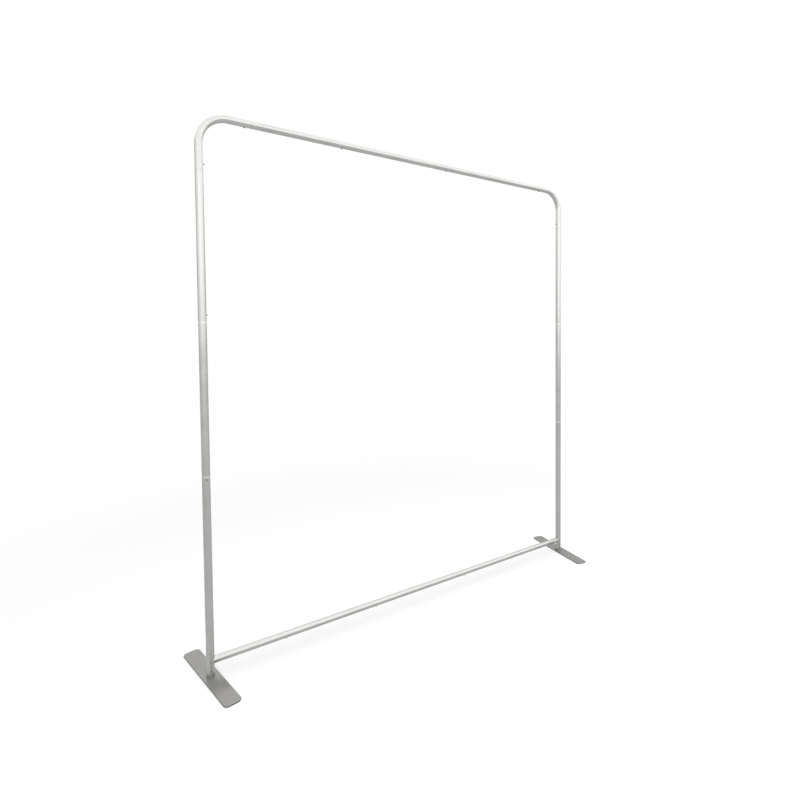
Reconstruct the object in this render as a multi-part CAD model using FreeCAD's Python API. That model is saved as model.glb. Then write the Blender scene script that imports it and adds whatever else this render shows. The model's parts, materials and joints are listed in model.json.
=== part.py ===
# Plug-together tube frame of a free-standing fabric display, as it stands without its cover.
# Two posts with bent elbows carry a top bar and a thinner bottom bar. Every tube joint has a connector
# sleeve, a V spring clip and a snap button. Each post stands on a flat plate that swivels under it.
# X runs along the bars, -Y is the front and +Z is up. The origin is on the floor midway between the posts.
import FreeCAD, Part
import math
import os

Vector = FreeCAD.Vector

# Driving dimensions in millimetres and degrees

# Tubes of the posts, the elbows and the top bar
TUBE_DIAMETER = 32.0
TUBE_WALL = 1.5
LOWER_TUBE_LENGTH = 815.0
MIDDLE_TUBE_LENGTH = 610.0
UPPER_TUBE_LENGTH = 596.0
TOP_SHORT_TUBE_LENGTH = 388.0
TOP_LONG_TUBE_LENGTH = 652.0
BEND_RADIUS = 114.0
ELBOW_POST_LEG = 108.0
ELBOW_BAR_LEG = 90.0

# Tubes of the bottom bar
BAR_DIAMETER = 28.0
BAR_WALL = 1.5
BAR_END_REACH = 291.0
BAR_TUBE_COUNT = 3
BAR_HEIGHT = 66.0
BAR_SADDLE_GAP = 0.2

# Every tube end is deburred with a small chamfer
TUBE_END_CHAMFER = 0.4

# Connector sleeves inside the joints, with a collar that shows between the post tubes
SLEEVE_INSERT = 50.0
SLEEVE_WALL = 2.0
SLEEVE_FIT = 0.1
COLLAR_HEIGHT = 8.0
SPIGOT_INSERT = 60.0
SPIGOT_END_GAP = 0.5

# Snap buttons: the setback is measured from the end of the tube that the sleeve slides into
BUTTON_DIAMETER = 7.0
BUTTON_PROUD = 4.5
BUTTON_DOME = 2.5
BUTTON_CLEARANCE = 0.3
BUTTON_FLANGE_DIAMETER = 9.0
BUTTON_FLANGE_THICKNESS = 1.0
BUTTON_SETBACK = 26.0
LOW_BUTTON_SETBACK = 8.0

# V spring clips behind the buttons
CLIP_WIDTH = 6.0
CLIP_THICKNESS = 0.8
CLIP_BEND_RADIUS = 3.0
CLIP_REACH = 38.0
CLIP_OVERHANG = 5.0
CLIP_GAP = 0.1

# Foot plates, the plugs in the posts' lower ends and the screws between them
PLATE_LENGTH = 444.0
PLATE_WIDTH = 68.0
PLATE_THICKNESS = 5.0
PLATE_CORNER_RADIUS = 18.0
PLATE_EDGE_ROUND = 1.5
PLATE_TURN = 9.8
PLUG_HEIGHT = 34.0
SCREW_DIAMETER = 8.0
SCREW_HEAD_DIAMETER = 14.0
SCREW_HEAD_RECESS = 0.4
SCREW_THREAD_IN_PLUG = 22.0
SCREW_FIT = 0.1
SCREW_SOCKET = 5.0
SCREW_SOCKET_DEPTH = 2.5

# Sizes and places that follow from the driving dimensions
TUBE_BORE = TUBE_DIAMETER - 2 * TUBE_WALL
BAR_BORE = BAR_DIAMETER - 2 * BAR_WALL
BUTTON_HOLE = BUTTON_DIAMETER + 2 * BUTTON_CLEARANCE
ELBOW_POST_ARM = BEND_RADIUS + ELBOW_POST_LEG
ELBOW_BAR_ARM = BEND_RADIUS + ELBOW_BAR_LEG
LOWER_TUBE_TOP = PLATE_THICKNESS + LOWER_TUBE_LENGTH
MIDDLE_TUBE_BASE = LOWER_TUBE_TOP + COLLAR_HEIGHT
MIDDLE_TUBE_TOP = MIDDLE_TUBE_BASE + MIDDLE_TUBE_LENGTH
UPPER_TUBE_BASE = MIDDLE_TUBE_TOP + COLLAR_HEIGHT
UPPER_TUBE_TOP = UPPER_TUBE_BASE + UPPER_TUBE_LENGTH
TOP_AXIS = UPPER_TUBE_TOP + ELBOW_POST_ARM
POST_SPACING = 2 * ELBOW_BAR_ARM + TOP_SHORT_TUBE_LENGTH + 2 * TOP_LONG_TUBE_LENGTH
POST_X = POST_SPACING / 2
BAR_END_X = POST_X - BAR_END_REACH
BAR_TUBE_LENGTH = 2 * BAR_END_X / BAR_TUBE_COUNT

RIGHT = Vector(1, 0, 0)
FRONT = Vector(0, -1, 0)
UP = Vector(0, 0, 1)
SIDES = (("left", -1), ("right", 1))


def rod(start, direction, length, diameter):
    return Part.makeCylinder(diameter / 2, length, start, direction)


def tube(start, direction, length, outer, bore):
    """Plain tube with both outer end edges chamfered."""
    solid = rod(start, direction, length, outer)
    ends = [edge for edge in solid.Edges if isinstance(edge.Curve, Part.Circle)]
    solid = solid.makeChamfer(TUBE_END_CHAMFER, ends)
    return solid.cut(rod(start, direction, length, bore))


def turned(outline):
    """Solid of revolution about Z of a closed outline of edges in the XZ plane."""
    return Part.Face(Part.Wire(outline)).revolve(Vector(0, 0, 0), UP, 360)


def line(start, end):
    return Part.LineSegment(Vector(start[0], 0, start[1]), Vector(end[0], 0, end[1])).toShape()


def arc(start, middle, end):
    points = [Vector(p[0], 0, p[1]) for p in (start, middle, end)]
    return Part.Arc(*points).toShape()


def outline(points):
    return [line(points[i - 1], points[i]) for i in range(len(points))]


def seat(shape, origin, along, out):
    """Moves a shape so that its own X lies along the tube and its own Z points out with the button."""
    side = out.cross(along)
    shape.transformShape(FreeCAD.Matrix(
        along.x, side.x, out.x, origin.x,
        along.y, side.y, out.y, origin.y,
        along.z, side.z, out.z, origin.z,
        0, 0, 0, 1))
    return shape


class Joint:
    """Where one tube's sleeve slides into the next tube and a button locks it.

    end is the middle of the receiving tube's end, inward points into that tube and out is the way that
    the button faces.
    """

    def __init__(self, end, inward, out, diameter, bore, setback=BUTTON_SETBACK, collar=0.0):
        self.end = end
        self.inward = inward
        self.out = out
        self.diameter = diameter
        self.bore = bore
        self.setback = setback
        self.collar = collar
        self.sleeve_diameter = bore - 2 * SLEEVE_FIT
        self.sleeve_bore = self.sleeve_diameter - 2 * SLEEVE_WALL
        self.button_base = end + inward * setback

    def hole(self):
        """Drill for the button through the receiving tube's near wall."""
        return rod(self.button_base, self.out, self.diameter, BUTTON_HOLE)

    def sleeve(self):
        """Connector in both tubes of the joint, with the collar between them if the joint has one."""
        seam = self.end - self.inward * self.collar
        start = seam - self.inward * SLEEVE_INSERT
        length = self.collar + 2 * SLEEVE_INSERT
        solid = rod(start, self.inward, length, self.sleeve_diameter)
        if self.collar:
            solid = solid.fuse(rod(seam, self.inward, self.collar, self.diameter))
        return solid.cut(rod(start, self.inward, length, self.sleeve_bore)).cut(self.hole())


def flange_level(joint):
    """Height of the button's flange above the tube's axis, where its rim meets the round bore."""
    rim = BUTTON_FLANGE_DIAMETER / 2
    return math.sqrt((joint.sleeve_bore / 2) ** 2 - rim ** 2) - BUTTON_CLEARANCE


def button(joint):
    """Domed snap button that stands proud of the tube surface, with a flange that keeps it in the sleeve."""
    radius = BUTTON_DIAMETER / 2
    flange = BUTTON_FLANGE_DIAMETER / 2
    shoulder = flange_level(joint)
    base = shoulder - BUTTON_FLANGE_THICKNESS
    top = joint.diameter / 2 + BUTTON_PROUD
    rim = top - BUTTON_DOME
    ball = (radius ** 2 + BUTTON_DOME ** 2) / (2 * BUTTON_DOME)
    half = math.asin(radius / ball) / 2
    crown = (ball * math.sin(half), top - ball * (1 - math.cos(half)))
    solid = turned([
        line((0, base), (flange, base)),
        line((flange, base), (flange, shoulder)),
        line((flange, shoulder), (radius, shoulder)),
        line((radius, shoulder), (radius, rim)),
        arc((radius, rim), crown, (0, top)),
        line((0, top), (0, base)),
    ])
    return seat(solid, joint.button_base, joint.inward, joint.out)


def leg_angle(height, reach):
    """Slope of a clip leg whose outer face leaves the bend tangentially and is at a height after a reach."""
    bend = CLIP_BEND_RADIUS + CLIP_THICKNESS / 2
    return math.acos(bend / math.hypot(height, reach)) - math.atan2(reach, height)


def clip(joint):
    """V spring of flat strip: one leg under the button's flange, the other on the far wall of the sleeve."""
    half = CLIP_THICKNESS / 2
    button_base = flange_level(joint) - BUTTON_FLANGE_THICKNESS
    near = leg_angle(button_base - CLIP_GAP, CLIP_REACH + BUTTON_FLANGE_DIAMETER / 2)
    far_wall = math.sqrt((joint.sleeve_bore / 2) ** 2 - (CLIP_WIDTH / 2) ** 2)
    far = leg_angle(far_wall - CLIP_GAP, CLIP_REACH + CLIP_OVERHANG)

    def leg(angle, sign, radius):
        foot = (-CLIP_REACH - radius * math.sin(angle), sign * radius * math.cos(angle))
        run = (CLIP_REACH + CLIP_OVERHANG) / math.cos(angle)
        return foot, (foot[0] + run * math.cos(angle), foot[1] + sign * run * math.sin(angle))

    edges = []
    ends = []
    for radius in (CLIP_BEND_RADIUS + half, CLIP_BEND_RADIUS - half):
        near_foot, near_end = leg(near, 1, radius)
        far_foot, far_end = leg(far, -1, radius)
        edges.append(line(near_end, near_foot))
        edges.append(arc(near_foot, (-CLIP_REACH - radius, 0), far_foot))
        edges.append(line(far_foot, far_end))
        ends.append((near_end, far_end))
    edges.append(line(ends[0][0], ends[1][0]))
    edges.append(line(ends[0][1], ends[1][1]))
    face = Part.Face(Part.Wire(Part.__sortEdges__(edges)))
    strip = face.extrude(Vector(0, CLIP_WIDTH, 0))
    strip.translate(Vector(0, -CLIP_WIDTH / 2, 0))
    return seat(strip, joint.button_base, joint.inward, joint.out)


def elbow(sign, joints):
    """Bent tube from the top of a post round to the top bar, with a button hole in each leg."""
    foot = Vector(sign * POST_X, 0, UPPER_TUBE_TOP)
    bend_start = foot + UP * ELBOW_POST_LEG
    centre = bend_start - RIGHT * sign * BEND_RADIUS
    bar_start = centre + UP * BEND_RADIUS
    ring = Part.Face([Part.Wire(Part.makeCircle(TUBE_DIAMETER / 2, bend_start, UP)),
                      Part.Wire(Part.makeCircle(TUBE_BORE / 2, bend_start, UP))])
    solid = ring.revolve(centre, FRONT * sign, 90)
    for start, direction, length in ((bend_start, UP * -1, ELBOW_POST_LEG),
                                     (bar_start, RIGHT * -sign, ELBOW_BAR_LEG)):
        leg = rod(start, direction, length, TUBE_DIAMETER)
        tip = [edge for edge in leg.Edges if edge.CenterOfMass.isEqual(start + direction * length, 1e-3)]
        leg = leg.makeChamfer(TUBE_END_CHAMFER, tip)
        solid = solid.fuse(leg.cut(rod(start, direction, length, TUBE_BORE)))
    solid = solid.removeSplitter()
    for joint in joints:
        solid = solid.cut(joint.hole())
    return solid


def foot_plate(sign):
    """Flat plate with rounded corners and a countersunk middle hole, turned a little under its post."""
    plate = Part.makeBox(PLATE_WIDTH, PLATE_LENGTH, PLATE_THICKNESS,
                         Vector(-PLATE_WIDTH / 2, -PLATE_LENGTH / 2, 0))
    corners = [edge for edge in plate.Edges if abs(edge.tangentAt(edge.FirstParameter).z) > 0.9]
    plate = plate.makeFillet(PLATE_CORNER_RADIUS, corners)
    rim = [edge for edge in plate.Edges if edge.BoundBox.ZMin > PLATE_THICKNESS - 1e-3]
    plate = plate.makeFillet(PLATE_EDGE_ROUND, rim)
    hole = SCREW_DIAMETER / 2 + SCREW_FIT
    mouth = SCREW_HEAD_DIAMETER / 2 + SCREW_FIT
    cone_top = SCREW_HEAD_RECESS + mouth - hole
    plate = plate.cut(turned(outline([
        (0, 0), (mouth, 0), (mouth, SCREW_HEAD_RECESS), (hole, cone_top), (hole, PLATE_THICKNESS),
        (0, PLATE_THICKNESS)])))
    plate.rotate(Vector(0, 0, 0), UP, -sign * PLATE_TURN)
    plate.translate(Vector(sign * POST_X, 0, 0))
    return plate


def foot_plug(sign):
    """Plug in the lower end of a post, threaded for the foot screw."""
    base = Vector(sign * POST_X, 0, PLATE_THICKNESS)
    body = rod(base, UP, PLUG_HEIGHT, TUBE_BORE - 2 * SLEEVE_FIT)
    return body.cut(rod(base, UP, PLUG_HEIGHT, SCREW_DIAMETER + 2 * SCREW_FIT))


def foot_screw(sign):
    """Countersunk socket screw from under the plate up into the plug."""
    radius = SCREW_DIAMETER / 2
    head = SCREW_HEAD_DIAMETER / 2
    cone_top = SCREW_HEAD_RECESS + head - radius
    tip = PLATE_THICKNESS + SCREW_THREAD_IN_PLUG
    screw = turned(outline([
        (0, SCREW_HEAD_RECESS), (head, SCREW_HEAD_RECESS), (radius, cone_top), (radius, tip), (0, tip)]))
    corners = [Vector(SCREW_SOCKET / math.sqrt(3) * math.cos(math.radians(60 * i)),
                      SCREW_SOCKET / math.sqrt(3) * math.sin(math.radians(60 * i)), SCREW_HEAD_RECESS)
               for i in range(7)]
    socket = Part.Face(Part.makePolygon(corners)).extrude(UP * SCREW_SOCKET_DEPTH)
    screw = screw.cut(socket)
    screw.translate(Vector(sign * POST_X, 0, 0))
    return screw


def spigot(joint):
    """Sleeve that runs out of the bottom bar's end, through the post's side and on to its far wall."""
    reach = math.sqrt((TUBE_BORE / 2) ** 2 - (joint.sleeve_diameter / 2) ** 2) - SPIGOT_END_GAP
    run = TUBE_DIAMETER / 2 + SPIGOT_INSERT
    start = joint.end - joint.inward * run
    solid = rod(start, joint.inward, run + reach, joint.sleeve_diameter)
    return solid.cut(rod(start, joint.inward, run + reach, joint.sleeve_bore)).cut(joint.hole())


def post_joint(sign, height, inward, out, **kind):
    return Joint(Vector(sign * POST_X, 0, height), inward, out, TUBE_DIAMETER, TUBE_BORE, **kind)


def top_joint(x, inward):
    return Joint(Vector(x, 0, TOP_AXIS), inward, UP * -1, TUBE_DIAMETER, TUBE_BORE)


def bottom_joint(x, inward):
    return Joint(Vector(x, 0, BAR_HEIGHT), inward, UP * -1, BAR_DIAMETER, BAR_BORE)


def top_tube(start_x, length, joints=()):
    solid = tube(Vector(start_x, 0, TOP_AXIS), RIGHT, length, TUBE_DIAMETER, TUBE_BORE)
    for joint in joints:
        solid = solid.cut(joint.hole())
    return solid


def bottom_tube(start_x, length, joints=()):
    solid = tube(Vector(start_x, 0, BAR_HEIGHT), RIGHT, length, BAR_DIAMETER, BAR_BORE)
    for joint in joints:
        solid = solid.cut(joint.hole())
    return solid


parts = {}
clips = {"top_bar": [], "bottom_bar": []}


def fit_joint(name, joint, member):
    """Adds the sleeve, the button and the clip of one joint."""
    parts[name + "_sleeve"] = joint.sleeve()
    parts[name + "_button"] = button(joint)
    clips.setdefault(member, []).append(clip(joint))


# Posts, elbows and feet
for side, sign in SIDES:
    inside = RIGHT * -sign
    post = side + "_post"
    lower = post_joint(sign, LOWER_TUBE_TOP, UP * -1, FRONT,
                       setback=LOW_BUTTON_SETBACK, collar=COLLAR_HEIGHT)
    upper = post_joint(sign, UPPER_TUBE_BASE, UP, inside, collar=COLLAR_HEIGHT)
    elbow_post = post_joint(sign, UPPER_TUBE_TOP, UP, inside)
    elbow_bar = top_joint(sign * (POST_X - ELBOW_BAR_ARM), RIGHT * sign)
    bar_end = Joint(Vector(sign * POST_X, 0, BAR_HEIGHT), RIGHT * sign, FRONT,
                    TUBE_DIAMETER, BAR_BORE, setback=0.0)

    foot = Vector(sign * POST_X, 0, PLATE_THICKNESS)
    lower_tube = tube(foot, UP, LOWER_TUBE_LENGTH, TUBE_DIAMETER, TUBE_BORE)
    side_hole = rod(bar_end.end, inside, TUBE_DIAMETER, bar_end.sleeve_diameter + 2 * SLEEVE_FIT)
    for drill in (lower.hole(), bar_end.hole(), side_hole):
        lower_tube = lower_tube.cut(drill)
    parts[post + "_lower_tube"] = lower_tube
    parts[post + "_middle_tube"] = tube(Vector(sign * POST_X, 0, MIDDLE_TUBE_BASE), UP, MIDDLE_TUBE_LENGTH,
                                        TUBE_DIAMETER, TUBE_BORE)
    parts[post + "_upper_tube"] = tube(Vector(sign * POST_X, 0, UPPER_TUBE_BASE), UP, UPPER_TUBE_LENGTH,
                                       TUBE_DIAMETER, TUBE_BORE).cut(upper.hole())
    parts[side + "_elbow"] = elbow(sign, (elbow_post, elbow_bar))
    parts[side + "_foot_plate"] = foot_plate(sign)
    parts[side + "_foot_plug"] = foot_plug(sign)
    parts[side + "_foot_screw"] = foot_screw(sign)
    fit_joint(post + "_lower", lower, post)
    fit_joint(post + "_upper", upper, post)
    fit_joint(side + "_elbow_post", elbow_post, post)
    fit_joint(side + "_elbow_bar", elbow_bar, "top_bar")

    # The bottom bar's end piece is cut to a saddle against the post
    bar_length = POST_X - BAR_END_X
    end_piece = bottom_tube(min(sign * POST_X, sign * BAR_END_X), bar_length)
    saddle = rod(Vector(sign * POST_X, 0, 0), UP, 2 * BAR_HEIGHT, TUBE_DIAMETER + 2 * BAR_SADDLE_GAP)
    parts["bottom_bar_" + side + "_end"] = end_piece.cut(saddle)
    parts[side + "_bar_end_spigot"] = spigot(bar_end)
    parts[side + "_bar_end_button"] = button(bar_end)
    clips["bottom_bar"].append(clip(bar_end))

# Top bar: a short tube and two long ones, the middle one receiving both sleeves
top_start = -POST_X + ELBOW_BAR_ARM
top_middle = top_start + TOP_SHORT_TUBE_LENGTH
top_end = top_middle + TOP_LONG_TUBE_LENGTH
top_left = top_joint(top_middle, RIGHT)
top_right = top_joint(top_end, RIGHT * -1)
parts["top_bar_left_tube"] = top_tube(top_start, TOP_SHORT_TUBE_LENGTH)
parts["top_bar_middle_tube"] = top_tube(top_middle, TOP_LONG_TUBE_LENGTH, (top_left, top_right))
parts["top_bar_right_tube"] = top_tube(top_end, TOP_LONG_TUBE_LENGTH)
fit_joint("top_bar_left", top_left, "top_bar")
fit_joint("top_bar_right", top_right, "top_bar")

# Bottom bar: three equal tubes between the end pieces, the outer two receiving the sleeves
inner = BAR_TUBE_LENGTH / 2
parts["bottom_bar_middle_tube"] = bottom_tube(-inner, BAR_TUBE_LENGTH)
for side, sign in SIDES:
    outer_joint = bottom_joint(sign * BAR_END_X, RIGHT * -sign)
    inner_joint = bottom_joint(sign * inner, RIGHT * sign)
    start = min(sign * inner, sign * BAR_END_X)
    parts["bottom_bar_" + side + "_tube"] = bottom_tube(start, BAR_TUBE_LENGTH, (outer_joint, inner_joint))
    fit_joint("bottom_bar_outer_" + side, outer_joint, "bottom_bar")
    fit_joint("bottom_bar_inner_" + side, inner_joint, "bottom_bar")

for member, springs in clips.items():
    parts[member + "_spring_clips"] = Part.makeCompound(springs)

os.makedirs("parts", exist_ok=True)
for node, shape in parts.items():
    shape.exportStep("parts/" + node + ".step")
    print(node, len(shape.Solids), shape.isValid(), round(shape.Volume, 1))
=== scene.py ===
import json
import math

import bmesh
import bpy
from mathutils import Matrix, Vector


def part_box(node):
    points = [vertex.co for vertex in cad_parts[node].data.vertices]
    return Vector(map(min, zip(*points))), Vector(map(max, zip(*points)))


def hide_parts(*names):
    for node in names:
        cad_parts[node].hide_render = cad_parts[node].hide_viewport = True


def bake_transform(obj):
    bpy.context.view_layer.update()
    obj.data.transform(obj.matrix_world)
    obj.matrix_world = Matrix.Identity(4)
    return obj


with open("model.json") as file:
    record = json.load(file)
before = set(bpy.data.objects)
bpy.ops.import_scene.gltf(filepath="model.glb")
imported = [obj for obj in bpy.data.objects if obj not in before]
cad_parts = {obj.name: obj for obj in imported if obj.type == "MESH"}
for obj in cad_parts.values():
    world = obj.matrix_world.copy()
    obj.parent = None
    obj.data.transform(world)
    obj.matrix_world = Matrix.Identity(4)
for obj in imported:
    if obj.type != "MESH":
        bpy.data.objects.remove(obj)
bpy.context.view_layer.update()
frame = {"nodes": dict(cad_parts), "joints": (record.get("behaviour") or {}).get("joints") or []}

# Post tubes: three lengths of extruded aluminium tube for each side, cut square and deburred.
# They are silver anodised, which leaves a satin skin with faint draw lines along the tube and a soft
# mottle where hands have rubbed it.
MM = 0.001
SIDES = ("left", "right")
ANODISED_PALE = "AAAAA8"
ANODISED_DARK = "A0A09E"
ANODISED_ROUGHNESS = (0.30, 0.38)
DRAW_LINE_PITCH = 2.5 * MM    # the real lines are about 0.3 mm apart, drawn coarser so that they show
DRAW_LINE_LENGTH = 400 * MM
DRAW_LINE_DEPTH = 0.004 * MM
DRAW_LINE_STRENGTH = 0.2
MOTTLE_SIZE = 90 * MM
MOTTLE_SPREAD = (0.3, 0.7)    # most of a noise pattern's values lie between these
TONE_SPREAD = (0.12, 0.38)    # and most of two patterns multiplied between these


def linear(colour):
    """Linear colour with alpha of an sRGB hex value."""
    channels = [int(colour[i:i + 2], 16) / 255 for i in (0, 2, 4)]
    return [c / 12.92 if c <= 0.04045 else ((c + 0.055) / 1.055) ** 2.4 for c in channels] + [1]


def add(tree, kind, inputs=None, **settings):
    """Adds a node with its settings; an input is a value or the socket that it is linked to.

    A Mix node's inputs go by number: 0 is the share, and 6 and 7 are the colours, mixed in output 2.
    """
    node = tree.nodes.new(kind)
    for name, value in settings.items():
        setattr(node, name, value)
    for name, value in (inputs or {}).items():
        if isinstance(value, bpy.types.NodeSocket):
            tree.links.new(value, node.inputs[name])
        else:
            node.inputs[name].default_value = value
    return node


def new_material(name):
    """Empty node material, its tree and its Object coordinates."""
    material = bpy.data.materials.new(name)
    material.use_nodes = True
    tree = material.node_tree
    tree.nodes.clear()
    return material, tree, add(tree, "ShaderNodeTexCoord").outputs["Object"]


def finish_material(tree, shader):
    """Links a shader to the material's output."""
    add(tree, "ShaderNodeOutputMaterial", {"Surface": shader.outputs[0]})


def paint(material, names):
    """Gives the CAD nodes of these names the material."""
    for name in names:
        for slot in frame["nodes"][name].material_slots:
            slot.material = material


def anodised_aluminium(name, across):
    """Satin anodised tube; across gives the place across the tube in X and Y and along it in Z."""
    material, tree, place = new_material(name)
    scale = (1 / DRAW_LINE_PITCH, 1 / DRAW_LINE_PITCH, 1 / DRAW_LINE_LENGTH)
    drawn = add(tree, "ShaderNodeMapping", {"Vector": across(tree, place), "Scale": scale})
    lines = add(tree, "ShaderNodeTexNoise", {"Vector": drawn.outputs[0], "Scale": 1.0, "Detail": 2.0})
    mottle = add(tree, "ShaderNodeTexNoise", {"Vector": place, "Scale": 1 / MOTTLE_SIZE, "Detail": 3.0})
    tone = add(tree, "ShaderNodeMath", {0: lines.outputs[0], 1: mottle.outputs[0]}, operation="MULTIPLY")
    share = add(tree, "ShaderNodeMapRange", {
        "Value": tone.outputs[0], "From Min": TONE_SPREAD[0], "From Max": TONE_SPREAD[1]})
    colour = add(tree, "ShaderNodeMix",
                 {0: share.outputs[0], 6: linear(ANODISED_DARK), 7: linear(ANODISED_PALE)},
                 data_type="RGBA")
    rough = add(tree, "ShaderNodeMapRange", {
        "Value": mottle.outputs[0], "From Min": MOTTLE_SPREAD[0], "From Max": MOTTLE_SPREAD[1],
        "To Min": ANODISED_ROUGHNESS[0], "To Max": ANODISED_ROUGHNESS[1]})
    relief = add(tree, "ShaderNodeBump", {
        "Height": lines.outputs[0], "Strength": DRAW_LINE_STRENGTH, "Distance": DRAW_LINE_DEPTH})
    finish_material(tree, add(tree, "ShaderNodeBsdfPrincipled", {
        "Base Color": colour.outputs[2], "Metallic": 1.0, "Roughness": rough.outputs[0],
        "Normal": relief.outputs[0]}))
    return material


def up_the_post(tree, place):
    """Place across a post, which stands along Z already."""
    return place


paint(anodised_aluminium("anodised_aluminium_post", up_the_post),
      [f"{side}_post_{part}_tube" for side in SIDES for part in ("lower", "middle", "upper")])

# Elbows: the same tube bent cold to a quarter circle, with a straight leg at each end.
# The draw lines follow the bend, so the pattern is read across the bent tube.
BEND_RADIUS = 114 * MM
LEGS_START = (0, -1, 0)    # along a leg X or Z stays at nought, and Y goes free within 1 m


def round_the_bend(side):
    """Place across an elbow: the distance from the bend's centre, kept straight along both legs."""
    low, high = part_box(f"{side}_elbow")
    tube_radius = (high[1] - low[1]) / 2
    outward = -1 if side == "left" else 1
    post = low[0] if side == "left" else high[0]
    centre = (post - outward * (BEND_RADIUS + tube_radius), 0, high[2] - BEND_RADIUS - tube_radius)

    def across(tree, place):
        from_centre = add(tree, "ShaderNodeMapping",
                          {"Vector": place, "Location": centre, "Scale": (outward, 1, 1)},
                          vector_type="TEXTURE")
        outside = add(tree, "ShaderNodeVectorMath", {0: from_centre.outputs[0], 1: LEGS_START},
                      operation="MAXIMUM")
        axes = add(tree, "ShaderNodeSeparateXYZ", {0: outside.outputs[0]})
        flat = add(tree, "ShaderNodeCombineXYZ", {"X": axes.outputs["X"], "Y": axes.outputs["Z"]})
        radius = add(tree, "ShaderNodeVectorMath", {0: flat.outputs[0]}, operation="LENGTH")
        return add(tree, "ShaderNodeCombineXYZ",
                   {"X": radius.outputs["Value"], "Y": axes.outputs["Y"]}).outputs[0]

    return across


for side in SIDES:
    paint(anodised_aluminium(f"anodised_aluminium_{side}_elbow", round_the_bend(side)), [f"{side}_elbow"])

# Top and bottom bars: straight tubes of the same aluminium, the bottom ones thinner.
# The bottom bar's end pieces are cut to a saddle that fits round the post.


def along_the_bar(tree, place):
    """Place across a bar, turned so that its length runs along Z."""
    return add(tree, "ShaderNodeMapping", {"Vector": place, "Rotation": (0, math.pi / 2, 0)}).outputs[0]


paint(anodised_aluminium("anodised_aluminium_bar", along_the_bar),
      [f"{bar}_bar_{part}_tube" for bar in ("top", "bottom") for part in ("left", "middle", "right")]
      + [f"bottom_bar_{side}_end" for side in SIDES])

# Connector sleeves: turned aluminium pushed into the tube ends. Only the collars between the post
# tubes show, as bright rings. Turning leaves fine rings round the axis and no anodised skin.
TURNED_PALE = "C0C0BD"
TURNED_DARK = "B4B4B1"
TURNED_ROUGHNESS = (0.36, 0.48)
TURNING_PITCH = 1.0 * MM    # the real rings are about 0.2 mm apart, drawn coarser so that they show
TURNING_LENGTH = 50 * MM


def turned_aluminium(name, axis):
    """Bright turned aluminium with rings round the axis."""
    material, tree, place = new_material(name)
    scale = [1 / TURNING_LENGTH] * 3
    scale["XYZ".index(axis)] = 1 / TURNING_PITCH
    rings = add(tree, "ShaderNodeMapping", {"Vector": place, "Scale": scale})
    wear = add(tree, "ShaderNodeTexNoise", {"Vector": rings.outputs[0], "Scale": 1.0, "Detail": 2.0})
    colour = add(tree, "ShaderNodeMix",
                 {0: wear.outputs[0], 6: linear(TURNED_DARK), 7: linear(TURNED_PALE)}, data_type="RGBA")
    rough = add(tree, "ShaderNodeMapRange", {
        "Value": wear.outputs[0], "To Min": TURNED_ROUGHNESS[0], "To Max": TURNED_ROUGHNESS[1]})
    finish_material(tree, add(tree, "ShaderNodeBsdfPrincipled", {
        "Base Color": colour.outputs[2], "Metallic": 1.0, "Roughness": rough.outputs[0]}))
    return material


paint(turned_aluminium("turned_aluminium_post_sleeve", "Z"),
      [f"{side}_{joint}_sleeve" for side in SIDES for joint in ("post_lower", "post_upper", "elbow_post")])
paint(turned_aluminium("turned_aluminium_bar_sleeve", "X"),
      [f"{side}_{part}" for side in SIDES for part in ("elbow_bar_sleeve", "bar_end_spigot")]
      + [f"{joint}_{side}_sleeve" for side in SIDES
         for joint in ("top_bar", "bottom_bar_outer", "bottom_bar_inner")])

# Snap buttons: nickel-plated steel pins with a domed head that lock each sleeve in its tube.
# The plating is smooth and a little darker than the aluminium, rubbed by thumbs.
NICKEL_PALE = "8F8C86"
NICKEL_DARK = "6F6C67"
NICKEL_ROUGHNESS = (0.22, 0.4)
RUB_SIZE = 2 * MM
material, tree, place = new_material("nickel_plated_steel")
rub = add(tree, "ShaderNodeTexNoise", {"Vector": place, "Scale": 1 / RUB_SIZE, "Detail": 3.0})
colour = add(tree, "ShaderNodeMix",
             {0: rub.outputs[0], 6: linear(NICKEL_DARK), 7: linear(NICKEL_PALE)}, data_type="RGBA")
rough = add(tree, "ShaderNodeMapRange", {
    "Value": rub.outputs[0], "To Min": NICKEL_ROUGHNESS[0], "To Max": NICKEL_ROUGHNESS[1]})
finish_material(tree, add(tree, "ShaderNodeBsdfPrincipled", {
    "Base Color": colour.outputs[2], "Metallic": 1.0, "Roughness": rough.outputs[0]}))
paint(material, [name for name in frame["nodes"] if name.endswith("_button")])

# Spring clips: V springs of bright rolled steel strip behind the buttons, out of sight in the sleeves.
# The fold and the far leg stay in the sleeve, while the leg under the button bends away with it when it
# is pressed, so each spring is taken out of its member's set.
STRIP_PALE = "B4B4B6"
STRIP_DARK = "A6A6A9"
STRIP_ROUGHNESS = 0.35
ROLLED_GRAIN = 1.5 * MM
CLIP_SPAN = 60 * MM           # a spring lies within this of its button, and the next spring further off
CLIP_LONG_EDGE = 30 * MM      # longer edges run along a leg and are cut up
CLIP_LEG_CUTS = 12
CLIP_WELD = 0.01 * MM
CLIP_FLAT = math.radians(1)
CLIP_CREASE = math.radians(30)
material, tree, place = new_material("bright_spring_steel")
grain = add(tree, "ShaderNodeTexNoise", {"Vector": place, "Scale": 1 / ROLLED_GRAIN, "Detail": 2.0})
colour = add(tree, "ShaderNodeMix",
             {0: grain.outputs[0], 6: linear(STRIP_DARK), 7: linear(STRIP_PALE)}, data_type="RGBA")
finish_material(tree, add(tree, "ShaderNodeBsdfPrincipled", {
    "Base Color": colour.outputs[2], "Metallic": 1.0, "Roughness": STRIP_ROUGHNESS}))


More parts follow.
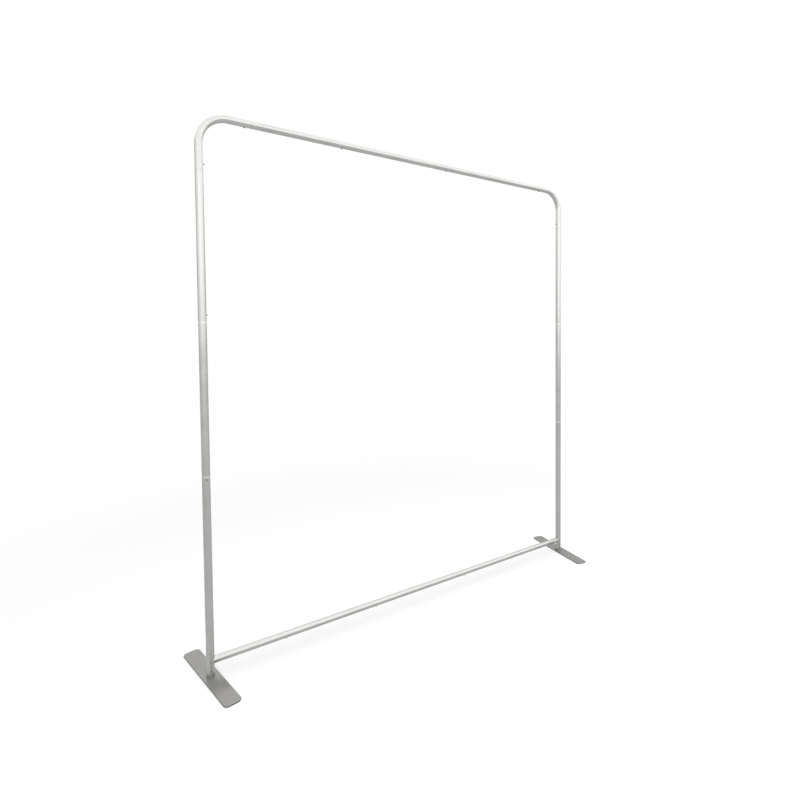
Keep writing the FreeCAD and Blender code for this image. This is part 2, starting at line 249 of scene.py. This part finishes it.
def spring_clip(button, clips):
    """Mesh of the one spring in a member's set that lies behind a button, with its legs cut up to bend."""
    low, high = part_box(button)
    strip = bmesh.new()
    strip.from_mesh(frame["nodes"][clips].data)
    others = [vert for vert in strip.verts if (vert.co - (low + high) / 2).length > CLIP_SPAN]
    bmesh.ops.delete(strip, geom=others, context="VERTS")
    bmesh.ops.remove_doubles(strip, verts=strip.verts, dist=CLIP_WELD)
    bmesh.ops.dissolve_limit(strip, angle_limit=CLIP_FLAT, verts=strip.verts, edges=strip.edges)
    legs = [edge for edge in strip.edges if edge.calc_length() > CLIP_LONG_EDGE]
    bmesh.ops.subdivide_edges(strip, edges=legs, cuts=CLIP_LEG_CUTS)
    mesh = bpy.data.meshes.new(button.replace("button", "spring_clip"))
    strip.to_mesh(mesh)
    strip.free()
    # The normals that came with the uncut mesh don't fit the cut one.
    mesh.attributes.remove(mesh.attributes["custom_normal"])
    mesh.shade_smooth()
    mesh.set_sharp_from_angle(angle=CLIP_CREASE)
    return mesh


for joint in frame["joints"]:
    for clips in joint.get("deforming_nodes", ()):
        mesh = spring_clip(joint["child"], clips["node"])
        mesh.materials.clear()
        mesh.materials.append(material)
        spring = bpy.data.objects.new(mesh.name, mesh)
        bpy.context.scene.collection.objects.link(spring)
        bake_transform(spring)
        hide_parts(clips["node"])

# Foot plates: flat bar steel with rounded corners, turned a little inwards under the posts.
# They are sprayed with a silver grey coat, which is satin, finely speckled and scuffed where it is
# walked on. Their upright side faces are painted darker, as painted shade.
COAT_PALE = "868582"
COAT_DARK = "7D7C7A"
COAT_METALLIC = 0.7
COAT_ROUGHNESS = (0.3, 0.42)
# Painted shade: the colour of the plates' upright side faces.
PAINTED_EDGE_SHADE = "474644"
SPECKLE_SIZE = 3 * MM    # the real speckle is under 1 mm, drawn coarser so that it shows
SPECKLE_SPREAD = (0.1, 0.4)
SCUFF_SIZE = 60 * MM
SCUFF_SPREAD = (0.3, 0.7)
material, tree, place = new_material("silver_coated_steel")
speckle = add(tree, "ShaderNodeTexNoise", {"Vector": place, "Scale": 1 / SPECKLE_SIZE, "Detail": 3.0})
scuff = add(tree, "ShaderNodeTexNoise", {"Vector": place, "Scale": 1 / SCUFF_SIZE, "Detail": 4.0})
tone = add(tree, "ShaderNodeMath", {0: speckle.outputs[0], 1: scuff.outputs[0]}, operation="MULTIPLY")
share = add(tree, "ShaderNodeMapRange", {
    "Value": tone.outputs[0], "From Min": SPECKLE_SPREAD[0], "From Max": SPECKLE_SPREAD[1]})
colour = add(tree, "ShaderNodeMix",
             {0: share.outputs[0], 6: linear(COAT_DARK), 7: linear(COAT_PALE)}, data_type="RGBA")
# Painted shade: where the surface stands upright, the dark side colour replaces the coat.
facing = add(tree, "ShaderNodeSeparateXYZ", {0: add(tree, "ShaderNodeNewGeometry").outputs["Normal"]})
flat = add(tree, "ShaderNodeMath", {0: facing.outputs["Z"]}, operation="ABSOLUTE")
coat_and_edge_shade = add(tree, "ShaderNodeMix",
           {0: flat.outputs[0], 6: linear(PAINTED_EDGE_SHADE), 7: colour.outputs[2]}, data_type="RGBA")
rough = add(tree, "ShaderNodeMapRange", {
    "Value": scuff.outputs[0], "From Min": SCUFF_SPREAD[0], "From Max": SCUFF_SPREAD[1],
    "To Min": COAT_ROUGHNESS[0], "To Max": COAT_ROUGHNESS[1]})
finish_material(tree, add(tree, "ShaderNodeBsdfPrincipled", {
    "Base Color": coat_and_edge_shade.outputs[2], "Metallic": COAT_METALLIC, "Roughness": rough.outputs[0]}))
paint(material, [f"{side}_foot_plate" for side in SIDES])

# Foot plugs and screws: a moulded nylon plug closes each post's lower end, and a zinc-plated
# countersunk screw comes up into it from under the plate, on which the plate swivels.
NYLON_PALE = "2B2B2C"
NYLON_DARK = "1E1E1F"
NYLON_ROUGHNESS = 0.55
MOULD_GRAIN = 1.2 * MM
ZINC_PALE = "B9BBBC"
ZINC_DARK = "9FA19F"
ZINC_ROUGHNESS = 0.3
ZINC_SPANGLE = 2.5 * MM
material, tree, place = new_material("moulded_nylon")
grain = add(tree, "ShaderNodeTexNoise", {"Vector": place, "Scale": 1 / MOULD_GRAIN, "Detail": 2.0})
colour = add(tree, "ShaderNodeMix",
             {0: grain.outputs[0], 6: linear(NYLON_DARK), 7: linear(NYLON_PALE)}, data_type="RGBA")
finish_material(tree, add(tree, "ShaderNodeBsdfPrincipled", {
    "Base Color": colour.outputs[2], "Roughness": NYLON_ROUGHNESS}))
paint(material, [f"{side}_foot_plug" for side in SIDES])
material, tree, place = new_material("zinc_plated_steel")
spangle = add(tree, "ShaderNodeTexVoronoi", {"Vector": place, "Scale": 1 / ZINC_SPANGLE})
colour = add(tree, "ShaderNodeMix",
             {0: spangle.outputs["Distance"], 6: linear(ZINC_DARK), 7: linear(ZINC_PALE)},
             data_type="RGBA")
finish_material(tree, add(tree, "ShaderNodeBsdfPrincipled", {
    "Base Color": colour.outputs[2], "Metallic": 1.0, "Roughness": ZINC_ROUGHNESS}))
paint(material, [f"{side}_foot_screw" for side in SIDES])

# Floor: a plain white studio floor, painted. To the camera and in reflections part of its white is its
# own, and that part grows outwards until the floor runs into the white background without a line. Round
# the frame it is mostly the lamps' light, so the soft shadows of the plates and the bottom bar stay.
WHITE = (1, 1, 1, 1)
FLOOR_COLOUR = "FBFBFB"
FLOOR_RADIUS = 3.4
FLOOR_FADE = 2.2
FLOOR_OWN_WHITE = 0.3
FLOOR_SEGMENTS = 96
floor_mesh = bpy.data.meshes.new("floor")
floor = bpy.data.objects.new("floor", floor_mesh)
bpy.context.scene.collection.objects.link(floor)
disc = bmesh.new()
bmesh.ops.create_circle(disc, cap_ends=True, segments=FLOOR_SEGMENTS, radius=FLOOR_RADIUS)
disc.to_mesh(floor_mesh)
disc.free()


def seen_directly(tree):
    """One for rays from the camera, in a mirror or through glass, and nought for the light on a surface."""
    ray = add(tree, "ShaderNodeLightPath")
    mirrored = add(tree, "ShaderNodeMath",
                   {0: ray.outputs["Is Glossy Ray"], 1: ray.outputs["Is Transmission Ray"]},
                   operation="MAXIMUM")
    return add(tree, "ShaderNodeMath", {0: ray.outputs["Is Camera Ray"], 1: mirrored.outputs[0]},
               operation="MAXIMUM").outputs[0]


material, tree, place = new_material("white_floor_paint")
reach = add(tree, "ShaderNodeVectorMath", {0: place}, operation="LENGTH")
own_white = add(tree, "ShaderNodeMapRange", {
    "Value": reach.outputs["Value"], "From Min": FLOOR_RADIUS - FLOOR_FADE, "From Max": FLOOR_RADIUS,
    "To Min": FLOOR_OWN_WHITE, "To Max": 1.0}, interpolation_type="SMOOTHSTEP")
share = add(tree, "ShaderNodeMath", {0: seen_directly(tree), 1: own_white.outputs[0]},
            operation="MULTIPLY")
lit = add(tree, "ShaderNodeBsdfDiffuse", {"Color": linear(FLOOR_COLOUR)})
glow = add(tree, "ShaderNodeEmission", {"Color": WHITE, "Strength": 1.0})
finish_material(tree, add(tree, "ShaderNodeMixShader",
                          {0: share.outputs[0], 1: lit.outputs[0], 2: glow.outputs[0]}))
floor_mesh.materials.append(material)

# Light: a white room, which mirrors in the metal as the camera sees it and lights the rest more weakly.
# A wide soft panel hangs overhead, four stand in an arc round the front and one is high at the back. They
# brighten the upper posts and the upper side of the bars, and bring the floor to a plain white.
ROOM_FILL = 0.1
ARC_CENTRE = Vector((-0.5, 0, 1.9))
ARC_RADIUS = 5.0
ARC_LAMP_LIFT = 0.7
ARC_LAMP_SIZE = (4.3, 2.6)
ARC_LAMPS = (    # name, degrees from the front to the right, radiance
    ("left_lamp", -80, 1.0), ("front_left_lamp", -33, 1.9),
    ("front_right_lamp", 14, 1.9), ("right_lamp", 61, 1.2))
OVERHEAD_PLACE = (0.6, -0.2, 3.9)
OVERHEAD_TARGET = (0.6, -0.2, 0)
OVERHEAD_SIZE = (10.0, 8.0)
OVERHEAD_RADIANCE = 1.2
BACK_PLACE = (-1.2, 4.2, 3.4)
BACK_TARGET = (-0.8, 0, 1.6)
BACK_SIZE = (5.0, 2.2)
BACK_RADIANCE = 0.8
world = bpy.data.worlds.new("white_room")
bpy.context.scene.world = world
world.use_nodes = True
tree = world.node_tree
tree.nodes.clear()
strength = add(tree, "ShaderNodeMapRange", {
    "Value": seen_directly(tree), "To Min": ROOM_FILL, "To Max": 1.0})
room = add(tree, "ShaderNodeBackground", {"Color": WHITE, "Strength": strength.outputs[0]})
add(tree, "ShaderNodeOutputWorld", {"Surface": room.outputs[0]})


def soft_lamp(name, place, target, size, radiance):
    """Rectangular lamp that faces a target; radiance is how bright its surface is, with white at 1."""
    lamp = bpy.data.lights.new(name, "AREA")
    lamp.shape = "RECTANGLE"
    lamp.size, lamp.size_y = size
    lamp.energy = radiance * math.pi * size[0] * size[1]
    holder = bpy.data.objects.new(name, lamp)
    holder.location = place
    holder.visible_camera = False
    holder.rotation_euler = (Vector(target) - Vector(place)).to_track_quat("-Z", "Y").to_euler()
    bpy.context.scene.collection.objects.link(holder)


for name, degrees, radiance in ARC_LAMPS:
    turn = math.radians(degrees)
    offset = Vector((math.sin(turn) * ARC_RADIUS, -math.cos(turn) * ARC_RADIUS, ARC_LAMP_LIFT))
    soft_lamp(name, ARC_CENTRE + offset, ARC_CENTRE, ARC_LAMP_SIZE, radiance)
soft_lamp("overhead_lamp", OVERHEAD_PLACE, OVERHEAD_TARGET, OVERHEAD_SIZE, OVERHEAD_RADIANCE)
soft_lamp("back_lamp", BACK_PLACE, BACK_TARGET, BACK_SIZE, BACK_RADIANCE)

# Camera: it stands in front of the frame and to the left, at chest height, and looks to the right.
# The shift keeps the frame where the photograph has it without tilting the camera further.
CAMERA_PLACE = Vector((-1.4726, -2.1702, 1.3892))
CAMERA_YAW = math.radians(34.500)
CAMERA_PITCH = math.radians(-1.972)
CAMERA_ROLL = math.radians(0.494)
SENSOR_WIDTH = 36
PHOTO_WIDTH = 800
FOCAL_PIXELS = 508.55
MIDDLE_PIXEL = (423.93, 351.48)
camera = bpy.data.cameras.new("camera")
camera.sensor_width = SENSOR_WIDTH
camera.lens = SENSOR_WIDTH * FOCAL_PIXELS / PHOTO_WIDTH
camera.shift_x = 0.5 - MIDDLE_PIXEL[0] / PHOTO_WIDTH
camera.shift_y = MIDDLE_PIXEL[1] / PHOTO_WIDTH - 0.5
viewer = bpy.data.objects.new("camera", camera)
level = Matrix.Rotation(-CAMERA_YAW, 4, "Z") @ Matrix.Rotation(math.pi / 2 + CAMERA_PITCH, 4, "X")
viewer.matrix_world = Matrix.Translation(CAMERA_PLACE) @ level @ Matrix.Rotation(-CAMERA_ROLL, 4, "Z")
bpy.context.scene.collection.objects.link(viewer)
bpy.context.scene.camera = viewer
bpy.context.scene.view_settings.view_transform = "Standard"
